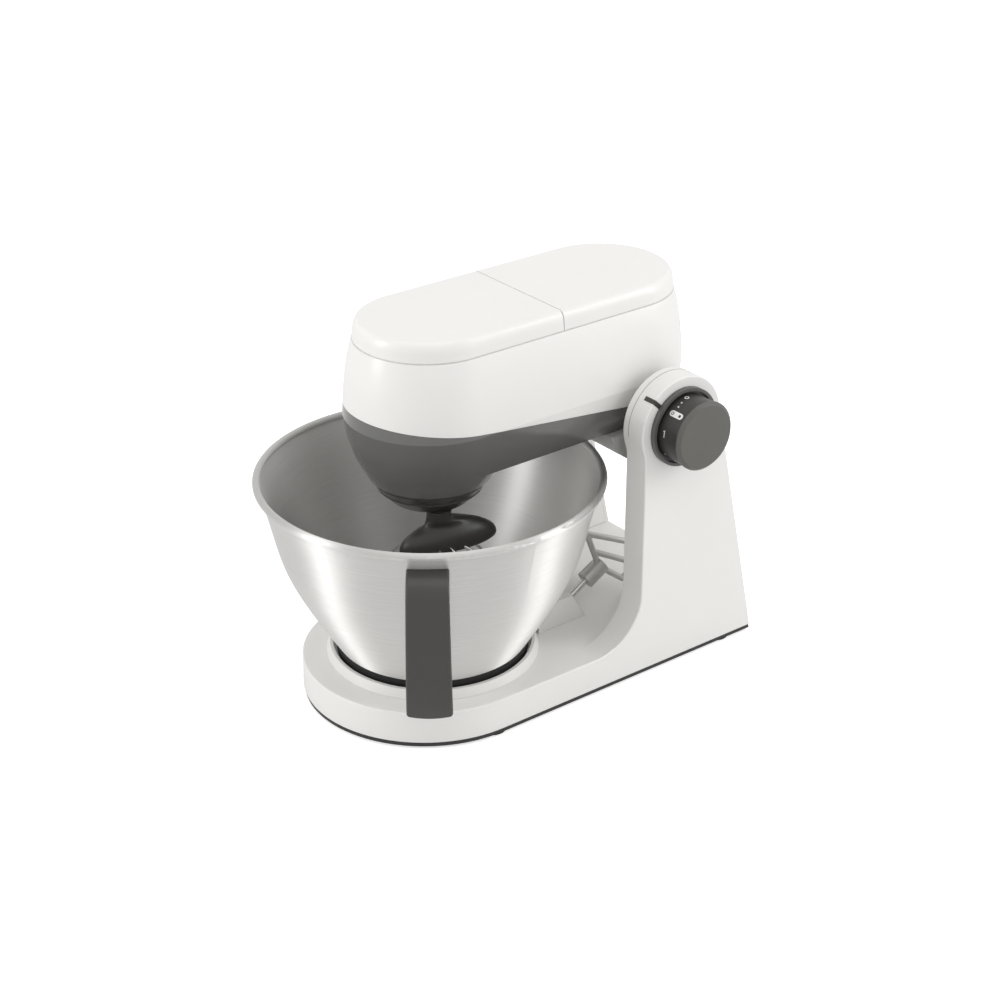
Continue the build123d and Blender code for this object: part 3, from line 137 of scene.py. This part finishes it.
def moulded(name, colour, rough, shift=0.03, grain=2500.0, depth=0.00002, coat=0.0, specular=0.5, edge=0.0):
    """Moulded plastic or rubber: faint clouding, uneven gloss and a fine grain."""
    material, tree, shader = new_material(name)
    place = add(tree, "ShaderNodeTexCoord").outputs["Object"]
    cloud = noise(tree, place, CLOUD_SCALE)
    dark = tuple(c * (1 - shift) for c in colour)
    light = tuple(min(1.0, c * (1 + shift)) for c in colour)
    tree.links.new(blend_colours(tree, cloud, dark, light), shader.inputs["Base Color"])
    gloss = noise(tree, place, GLOSS_SCALE)
    uneven = spread(tree, gloss, rough * ROUGH_LOW, rough * ROUGH_HIGH)
    tree.links.new(uneven, shader.inputs["Roughness"])
    fine = noise(tree, place, grain, 2.0)
    surface = bump(tree, fine, GRAIN_STRENGTH, depth)
    if edge:
        soft_edges(tree, surface, edge)
    tree.links.new(surface.outputs["Normal"], shader.inputs["Normal"])
    shader.inputs["Specular IOR Level"].default_value = specular
    if coat:
        shader.inputs["Coat Weight"].default_value = coat
        shader.inputs["Coat Roughness"].default_value = COAT_ROUGH
    return material


def metal(name, colour, rough, grain=900.0, stretch=(1, 1, 1), depth=0.000012, shift=0.06):
    """Bare metal: streaked or speckled gloss along the working direction."""
    material, tree, shader = new_material(name)
    place = add(tree, "ShaderNodeTexCoord").outputs["Object"]
    mapping = add(tree, "ShaderNodeMapping")
    mapping.inputs["Scale"].default_value = stretch
    tree.links.new(place, mapping.inputs["Vector"])
    streak = noise(tree, mapping.outputs["Vector"], grain, 3.0)
    dark = tuple(c * (1 - shift) for c in colour)
    light = tuple(min(1.0, c * (1 + shift)) for c in colour)
    tree.links.new(blend_colours(tree, streak, dark, light), shader.inputs["Base Color"])
    uneven = spread(tree, streak, rough * METAL_ROUGH_LOW, rough * METAL_ROUGH_HIGH)
    tree.links.new(uneven, shader.inputs["Roughness"])
    surface = bump(tree, streak, METAL_STRENGTH, depth)
    tree.links.new(surface.outputs["Normal"], shader.inputs["Normal"])
    shader.inputs["Metallic"].default_value = 1.0
    return material


def turned_steel(name, colour, rough, along, round_scale, depth, anisotropy):
    """Steel brushed round the bowl axis."""
    material, tree, shader = new_material(name)
    place = add(tree, "ShaderNodeTexCoord").outputs["Object"]
    centre = add(tree, "ShaderNodeVectorMath", operation="SUBTRACT")
    centre.inputs[1].default_value = (0.0, BOWL_Y, 0.0)
    tree.links.new(place, centre.inputs[0])
    flat = add(tree, "ShaderNodeVectorMath", operation="MULTIPLY")
    flat.inputs[1].default_value = (1.0, 1.0, 0.0)
    tree.links.new(centre.outputs["Vector"], flat.inputs[0])
    radius = add(tree, "ShaderNodeVectorMath", operation="LENGTH")
    tree.links.new(flat.outputs["Vector"], radius.inputs[0])
    facing = add(tree, "ShaderNodeVectorMath", operation="NORMALIZE")
    tree.links.new(flat.outputs["Vector"], facing.inputs[0])
    wide = add(tree, "ShaderNodeVectorMath", operation="SCALE")
    wide.inputs["Scale"].default_value = round_scale
    tree.links.new(facing.outputs["Vector"], wide.inputs[0])
    parts = add(tree, "ShaderNodeSeparateXYZ")
    tree.links.new(centre.outputs["Vector"], parts.inputs["Vector"])
    climb = add(tree, "ShaderNodeMath", operation="ADD")
    tree.links.new(parts.outputs["Z"], climb.inputs[0])
    tree.links.new(radius.outputs["Value"], climb.inputs[1])
    rise = add(tree, "ShaderNodeMath", operation="MULTIPLY")
    rise.inputs[1].default_value = along
    tree.links.new(climb.outputs["Value"], rise.inputs[0])
    up = add(tree, "ShaderNodeCombineXYZ")
    tree.links.new(rise.outputs["Value"], up.inputs["Z"])
    joined = add(tree, "ShaderNodeVectorMath", operation="ADD")
    tree.links.new(wide.outputs["Vector"], joined.inputs[0])
    tree.links.new(up.outputs["Vector"], joined.inputs[1])
    streak = noise(tree, joined.outputs["Vector"], 1.0, 3.0, 0.6)
    dark = tuple(c * BRUSH_DARK for c in colour)
    light = tuple(min(1.0, c * BRUSH_LIGHT) for c in colour)
    tree.links.new(blend_colours(tree, streak, dark, light, 0.25, 0.75), shader.inputs["Base Color"])
    uneven = spread(tree, streak, rough * ROUGH_LOW, rough * ROUGH_HIGH)
    tree.links.new(uneven, shader.inputs["Roughness"])
    surface = bump(tree, streak, BRUSH_STRENGTH, depth)
    tree.links.new(surface.outputs["Normal"], shader.inputs["Normal"])
    tangent = add(tree, "ShaderNodeTangent", direction_type="RADIAL", axis="Z")
    tree.links.new(tangent.outputs["Tangent"], shader.inputs["Tangent"])
    shader.inputs["Metallic"].default_value = 1.0
    shader.inputs["Anisotropic"].default_value = anisotropy
    shader.inputs["Anisotropic Rotation"].default_value = QUARTER_TURN
    return material


white = moulded(
    "white_shell", (0.80, 0.795, 0.78), 0.32,
    shift=0.012, grain=3000.0, depth=0.000012, coat=0.12, edge=0.0004,
)
seat_white = moulded(
    "seat_plastic", (0.76, 0.755, 0.74), 0.42,
    shift=0.02, grain=2500.0, depth=0.00002, edge=0.0006,
)
# Painted shade: the hinge barrel is the same white plastic as the shell, but this mid grey stands in for the
# shade it sits in under the head.
painted_shade_grey = moulded("painted_shade_grey", (0.42, 0.418, 0.41), 0.4, shift=0.02, grain=2500.0, depth=0.00002)
dark_gloss = moulded(
    "dark_gloss", (0.125, 0.124, 0.119), 0.2,
    shift=0.05, grain=3000.0, depth=0.000008, coat=0.4, edge=0.0006,
)
hub_gloss = moulded(
    "hub_gloss", (0.05, 0.05, 0.047), 0.3,
    shift=0.06, grain=3000.0, depth=0.000008, coat=0.4, edge=0.0005,
)
dark_satin = moulded(
    "dark_satin", (0.043, 0.042, 0.039), 0.42,
    shift=0.05, grain=2200.0, depth=0.00003, edge=0.0008,
)
whisk_dark = moulded("whisk_dark", (0.04, 0.039, 0.037), 0.36, shift=0.06, grain=2200.0, depth=0.00003)
bezel_grey = moulded(
    "bezel_grey", (0.1, 0.1, 0.095), 0.38,
    shift=0.05, grain=2200.0, depth=0.00003, edge=0.0004,
)
plate_dark = moulded("plate_dark", (0.03, 0.03, 0.028), 0.45, shift=0.05, grain=2000.0, depth=0.00003)
dial_grey = moulded(
    "dial_grey", (0.105, 0.104, 0.096), 0.42,
    shift=0.04, grain=2600.0, depth=0.00003, edge=0.0005,
)
drum_grey = moulded("drum_grey", (0.032, 0.031, 0.029), 0.4, shift=0.06, grain=2600.0, depth=0.00003)
print_white = moulded("print_white", (0.8, 0.8, 0.78), 0.5, shift=0.02, grain=3000.0, depth=0.00001)
print_dark = moulded("print_dark", (0.03, 0.03, 0.028), 0.5, shift=0.05, grain=3000.0, depth=0.00001)
seam_grey = moulded("seam_grey", (0.33, 0.33, 0.32), 0.6, shift=0.06, grain=2500.0, depth=0.00001)
rubber = moulded(
    "rubber", (0.014, 0.014, 0.014), 0.62,
    shift=0.12, grain=1800.0, depth=0.00005, coat=0.0, specular=0.35,
)
black = moulded("black_plastic", (0.02, 0.02, 0.019), 0.35, shift=0.08, grain=2200.0, depth=0.00003)
board = moulded("board_lacquer", (0.03, 0.16, 0.06), 0.4, shift=0.15, grain=700.0, depth=0.00003)
bowl_steel = turned_steel(
    "bowl_steel", (0.77, 0.765, 0.752), 0.5,
    along=2600.0, round_scale=3.0, depth=0.000008, anisotropy=0.95,
)
bright_steel = metal("bright_steel", (0.66, 0.655, 0.64), 0.2)
machine_steel = metal("machine_steel", (0.5, 0.5, 0.5), 0.34, grain=700.0, stretch=(1, 1, 6))
cast_alloy = metal(
    "cast_alloy", (0.55, 0.55, 0.54), 0.42,
    grain=1500.0, stretch=(1, 1, 1), depth=0.00004, shift=0.1,
)
bronze = metal(
    "bush_bronze", (0.55, 0.36, 0.17), 0.4,
    grain=1500.0, stretch=(1, 1, 1), depth=0.00003, shift=0.12,
)
magnet = metal(
    "magnet_grey", (0.16, 0.16, 0.165), 0.5,
    grain=1200.0, stretch=(1, 1, 1), depth=0.00003, shift=0.1,
)

DRESS = {
    white: (
        "stand_shell right_leg_cover left_leg_cover head_side_shell front_top_cover rear_top_cover "
        "rear_lower_cover"
    ),
    # Painted shade: the white hinge barrel is given a grey in place of the shade under the head.
    painted_shade_grey: "hinge_barrel",
    seat_white: "bowl_seat tool_rack",
    dark_gloss: "head_lower_shell",
    hub_gloss: "planetary_hub",
    dark_satin: "bowl_handle index_mark",
    whisk_dark: "whisk_hub",
    bezel_grey: "dial_bezel",
    plate_dark: "bottom_plate",
    dial_grey: "dial_cap",
    drum_grey: "speed_dial",
    rubber: "rubber_feet bowl_foot_ring drive_belt",
    black: "dough_hook_hub cord_gland speed_encoder layshaft_pulley",
    board: "power_board",
    bowl_steel: "mixing_bowl",
    bright_steel: (
        "whisk_wires dough_hook beater_shaft handle_rivets bowl_bayonet tool_spindle bottom_screws "
        "leg_cover_screws head_screws"
    ),
    machine_steel: (
        "right_leg_bracket left_leg_bracket hinge_pins lock_spring lock_bolt main_bearings layshaft_bearings "
        "motor_can motor_rotor motor_pulley main_shaft layshaft_pinion main_gear dial_shaft ring_gear "
        "planet_pinion"
    ),
    magnet: "motor_magnets",
    cast_alloy: "head_chassis gear_cover beater_frame",
    bronze: "hinge_bushes spindle_bush",
}
for material, names in DRESS.items():
    for name in names.split():
        nodes[name].data.materials.clear()
        nodes[name].data.materials.append(material)


# Pieces made here
def make_piece(name, shape, material, body):
    mesh = bpy.data.meshes.new(name)
    bmesh.ops.recalc_face_normals(shape, faces=shape.faces)
    shape.to_mesh(mesh)
    shape.free()
    mesh.materials.append(material)
    piece = bpy.data.objects.new(name, mesh)
    scene.collection.objects.link(piece)
    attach(piece, body)
    return piece


def add_strip(shape, rows, place, low, high):
    """A thin slab along rows of (left, right) places, from height low to height high."""
    grid = []
    for left, right in rows:
        corners = ((left, low), (right, low), (right, high), (left, high))
        grid.append([shape.verts.new(place(*spot, height)) for spot, height in corners])
    for first, second in zip(grid, grid[1:]):
        for k in range(4):
            shape.faces.new((first[k], first[(k + 1) % 4], second[(k + 1) % 4], second[k]))
    shape.faces.new(grid[0])
    shape.faces.new(grid[-1])


# Prints on the dial's drum: a place is along the axis and round the drum from its middle
PRINT_DEEP = 0.0001
PRINT_HIGH = 0.00012
PRINT_STEP = 0.00006
ROUND_ROWS = 14
ROUND_SHARE = 0.998
DIGITS = {
    "1": [[(-0.14, 0.3), (0.06, 0.5), (0.06, 0.0), (0.06, -0.5)]],
    "2": [
        [(-0.3, 0.3), (-0.2, 0.45), (0.0, 0.5), (0.22, 0.42), (0.28, 0.22), (0.18, 0.0), (-0.3, -0.44)],
        [(-0.32, -0.46), (0.0, -0.46), (0.32, -0.46)],
    ],
    "3": [
        [(-0.28, 0.38), (-0.05, 0.5), (0.2, 0.42), (0.26, 0.22), (0.15, 0.06), (-0.05, 0.02)],
        [(-0.05, 0.0), (0.2, -0.07), (0.3, -0.27), (0.18, -0.45), (-0.05, -0.5), (-0.3, -0.38)],
    ],
    "4": [
        [(0.12, -0.5), (0.12, 0.0), (0.12, 0.5)],
        [(0.1, 0.48), (-0.1, 0.14), (-0.32, -0.2)],
        [(-0.32, -0.2), (0.0, -0.2), (0.34, -0.2)],
    ],
}
DIGIT_HIGH = 0.0052
DIGIT_STROKE = 0.0007


def on_drum(x, degrees):
    middle = math.radians(degrees)

    def place(u, v, height):
        turn = middle + v / DRUM_R
        reach = DRUM_R + height
        return (x + u, HINGE_Y + reach * math.cos(turn), HINGE_Z + reach * math.sin(turn))

    return place


def pill_rows(half_long, half_wide):
    rows = []
    for k in range(ROUND_ROWS + 1):
        v = -half_wide * math.cos(math.pi * k / ROUND_ROWS) * ROUND_SHARE
        u = half_long - half_wide + math.sqrt(half_wide * half_wide - v * v)
        rows.append(((-u, v), (u, v)))
    return rows


def line_rows(points, width):
    rows = []
    for k, (u, v) in enumerate(points):
        before = points[max(0, k - 1)]
        after = points[min(len(points) - 1, k + 1)]
        run = Vector((after[0] - before[0], after[1] - before[1])).normalized() * (width / 2)
        rows.append(((u - run.y, v + run.x), (u + run.y, v - run.x)))
    return rows


def print_pill(name, x, degrees, half_long, half_wide, material, layer=0):
    shape = bmesh.new()
    high = PRINT_HIGH + layer * PRINT_STEP
    add_strip(shape, pill_rows(half_long, half_wide), on_drum(x, degrees), -PRINT_DEEP, high)
    return make_piece(name, shape, material, "dial")


def print_dot(name, x, degrees, radius, material, layer=0):
    return print_pill(name, x, degrees, radius, radius, material, layer)


def print_digit(digit, x, degrees):
    shape = bmesh.new()
    for line in DIGITS[digit]:
        points = [(u * DIGIT_HIGH, -v * DIGIT_HIGH) for u, v in line]
        add_strip(shape, line_rows(points, DIGIT_STROKE), on_drum(x, degrees), -PRINT_DEEP, PRINT_HIGH)
    return make_piece("dial_number_" + digit, shape, print_white, "dial")


POINTER_TURN = 135.0
POINTER_X = 0.1017
POINTER_HALF_LONG = 0.0061
POINTER_HALF_WIDE = 0.0022
POINTER_EYE_X = 0.0981
POINTER_EYE_R = 0.0013
POINTER_DOT_R = 0.0007
POINTER_END_X = 0.105
POINTER_END_R = 0.0011
ROUND_MARK_X = 0.0961
ROUND_MARK_TURN = 97.0
ROUND_MARK_R = 0.0017
ROUND_MARK_EYE_R = 0.0010
DOT_R = 0.0006
DOT_PLACES = ((0.0977, 112.0), (0.0985, 121.5), (0.0948, 215.0))
NUMBER_X = 0.0974
NUMBER_TURNS = (("1", 172.0), ("2", 245.0), ("3", 278.0), ("4", 311.0))
print_pill("dial_pointer", POINTER_X, POINTER_TURN, POINTER_HALF_LONG, POINTER_HALF_WIDE, print_white)
print_dot("dial_pointer_ring", POINTER_EYE_X, POINTER_TURN, POINTER_EYE_R, print_dark, 1)
print_dot("dial_pointer_dot", POINTER_EYE_X, POINTER_TURN, POINTER_DOT_R, print_white, 2)
print_dot("dial_pointer_end", POINTER_END_X, POINTER_TURN, POINTER_END_R, print_dark, 1)
print_dot("dial_round_mark", ROUND_MARK_X, ROUND_MARK_TURN, ROUND_MARK_R, print_white)
print_dot("dial_round_mark_eye", ROUND_MARK_X, ROUND_MARK_TURN, ROUND_MARK_EYE_R, print_dark, 1)
for count, (x, degrees) in enumerate(DOT_PLACES, 1):
    print_dot("dial_dot_" + str(count), x, degrees, DOT_R, print_white)
for digit, degrees in NUMBER_TURNS:
    print_digit(digit, NUMBER_X, degrees)

# Seam lines over the tops of the legs
SEAM_X = LEG_IN + 0.0052
SEAM_WIDTH = 0.0005
SEAM_LOW = -0.0002
SEAM_HIGH = 0.00006
SEAM_START = 13.0
SEAM_END = 186.0
SEAM_ROWS = 60


def on_leg(side):
    def place(u, v, height):
        reach = LEG_TOP_R + height
        return (side * SEAM_X + u, HINGE_Y + reach * math.cos(v), HINGE_Z + reach * math.sin(v))

    return place


for side, name in ((1, "right_leg_seam"), (-1, "left_leg_seam")):
    rows = []
    for k in range(SEAM_ROWS + 1):
        turn = math.radians(SEAM_START + (SEAM_END - SEAM_START) * k / SEAM_ROWS)
        rows.append(((-SEAM_WIDTH / 2, turn), (SEAM_WIDTH / 2, turn)))
    shape = bmesh.new()
    add_strip(shape, rows, on_leg(side), SEAM_LOW, SEAM_HIGH)
    make_piece(name, shape, seam_grey, "stand")

# Whisk hub: a smooth oval dome that runs up into a round neck
DOME_LONG = 0.0368
DOME_SHORT = 0.0135
DOME_TURN = math.radians(80.0)
DOME_SHIFT = 0.007
HUB_NECK_R = 0.0086
DOME_SIDES = 72
DOME_PROFILE = (
    (0.90, 0.1203),
    (0.945, 0.1205),
    (0.975, 0.1211),
    (0.995, 0.1221),
    (1.0, 0.1235),
    (0.985, 0.1255),
    (0.945, 0.1279),
    (0.88, 0.1303),
    (0.78, 0.1328),
    (0.65, 0.1354),
    (0.5, 0.1376),
)
NECK_PROFILE = ((0.35, 0.1394), (0.65, 0.1406), (0.88, 0.142), (1.0, 0.1438), (1.0, 0.1488), (0.96, 0.1491))
shape = bmesh.new()
rings = [(DOME_LONG * k, DOME_SHORT * k, DOME_SHIFT, z) for k, z in DOME_PROFILE]
last = rings[-1]
for share, z in NECK_PROFILE:
    long_r = last[0] + (HUB_NECK_R - last[0]) * share
    short_r = last[1] + (HUB_NECK_R - last[1]) * share
    rings.append((long_r, short_r, DOME_SHIFT * (1 - share), z))
loops = []
for long_r, short_r, shift, z in rings:
    loop = []
    for k in range(DOME_SIDES):
        turn = 2 * math.pi * k / DOME_SIDES
        u = long_r * math.cos(turn) + shift
        v = short_r * math.sin(turn)
        x = SPINDLE_X + u * math.cos(DOME_TURN) - v * math.sin(DOME_TURN)
        y = SPINDLE_Y + u * math.sin(DOME_TURN) + v * math.cos(DOME_TURN)
        loop.append(shape.verts.new((x, y, z)))
    loops.append(loop)
for first, second in zip(loops, loops[1:]):
    for k in range(DOME_SIDES):
        nxt = (k + 1) % DOME_SIDES
        face = shape.faces.new((first[k], first[nxt], second[nxt], second[k]))
        face.smooth = True
shape.faces.new(loops[0])
shape.faces.new(loops[-1])
whisk_dome = make_piece("whisk_hub_dome", shape, whisk_dark, "whisk")
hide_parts("whisk_hub")

# Camera
azimuth = math.radians(CAM_AZIMUTH)
elevation = math.radians(CAM_ELEVATION)
back = Vector(
    (
        math.sin(azimuth) * math.cos(elevation),
        -math.cos(azimuth) * math.cos(elevation),
        math.sin(elevation),
    )
)
camera_data = bpy.data.cameras.new("camera")
camera_data.lens = CAM_LENS
camera_data.sensor_width = CAM_SENSOR
camera_data.clip_start = CAM_NEAR
camera_data.clip_end = CAM_FAR
camera = bpy.data.objects.new("camera", camera_data)
camera.location = CAM_TARGET + back * CAM_DISTANCE
camera.rotation_mode = "QUATERNION"
camera.rotation_quaternion = (-back).to_track_quat("-Z", "Y")
scene.collection.objects.link(camera)
scene.camera = camera

# Floor
FLOOR_R = 30.0
FLOOR_GLOW = 0.6
floor_mesh = bpy.data.meshes.new("floor")
shape = bmesh.new()
bmesh.ops.create_circle(shape, cap_ends=True, segments=96, radius=FLOOR_R)
shape.to_mesh(floor_mesh)
shape.free()
floor = bpy.data.objects.new("floor", floor_mesh)
scene.collection.objects.link(floor)
floor_paint, tree, shader = new_material("floor_paint")
shader.inputs["Base Color"].default_value = (0.8, 0.8, 0.8, 1)
shader.inputs["Roughness"].default_value = 0.9
shader.inputs["Specular IOR Level"].default_value = 0.0
path = add(tree, "ShaderNodeLightPath")
glow = add(tree, "ShaderNodeMath", operation="MULTIPLY")
glow.inputs[1].default_value = FLOOR_GLOW
tree.links.new(path.outputs["Is Camera Ray"], glow.inputs[0])
shader.inputs["Emission Color"].default_value = (1, 1, 1, 1)
tree.links.new(glow.outputs["Value"], shader.inputs["Emission Strength"])
floor_mesh.materials.append(floor_paint)

# World and lamps
ROOM_LIGHT = 0.83
world = bpy.data.worlds.new("world")
scene.world = world
world.use_nodes = True
tree = world.node_tree
tree.nodes.clear()
path = add(tree, "ShaderNodeLightPath")
open_sky = add(tree, "ShaderNodeBackground")
open_sky.inputs["Color"].default_value = (1, 1, 1, 1)
open_sky.inputs["Strength"].default_value = 1.0
room_light = add(tree, "ShaderNodeBackground")
room_light.inputs["Color"].default_value = (1.0, 0.995, 0.985, 1)
room_light.inputs["Strength"].default_value = ROOM_LIGHT
seen = add(tree, "ShaderNodeMath", operation="MAXIMUM")
tree.links.new(path.outputs["Is Camera Ray"], seen.inputs[0])
tree.links.new(path.outputs["Is Transmission Ray"], seen.inputs[1])
mix = add(tree, "ShaderNodeMixShader")
tree.links.new(seen.outputs["Value"], mix.inputs["Fac"])
tree.links.new(room_light.outputs["Background"], mix.inputs[1])
tree.links.new(open_sky.outputs["Background"], mix.inputs[2])
out = add(tree, "ShaderNodeOutputWorld")
tree.links.new(mix.outputs["Shader"], out.inputs["Surface"])


def soft_lamp(name, spot, aim, size, power):
    data = bpy.data.lights.new(name, "AREA")
    data.shape = "RECTANGLE"
    data.size, data.size_y = size
    data.energy = power
    lamp = bpy.data.objects.new(name, data)
    lamp.location = spot
    lamp.rotation_mode = "QUATERNION"
    lamp.rotation_quaternion = (Vector(aim) - Vector(spot)).to_track_quat("-Z", "Y")
    scene.collection.objects.link(lamp)


soft_lamp("lamp_top", spot=(0.2, 0.0, 2.1), aim=(0, 0, 0.1), size=(1.6, 1.6), power=6)
soft_lamp("lamp_right", spot=(1.5, 1.6, 1.0), aim=(0, 0, 0.15), size=(0.7, 1.6), power=15)
soft_lamp("lamp_front", spot=(-0.75, -2.05, 0.9), aim=(0, 0, 0.12), size=(0.6, 1.6), power=15)
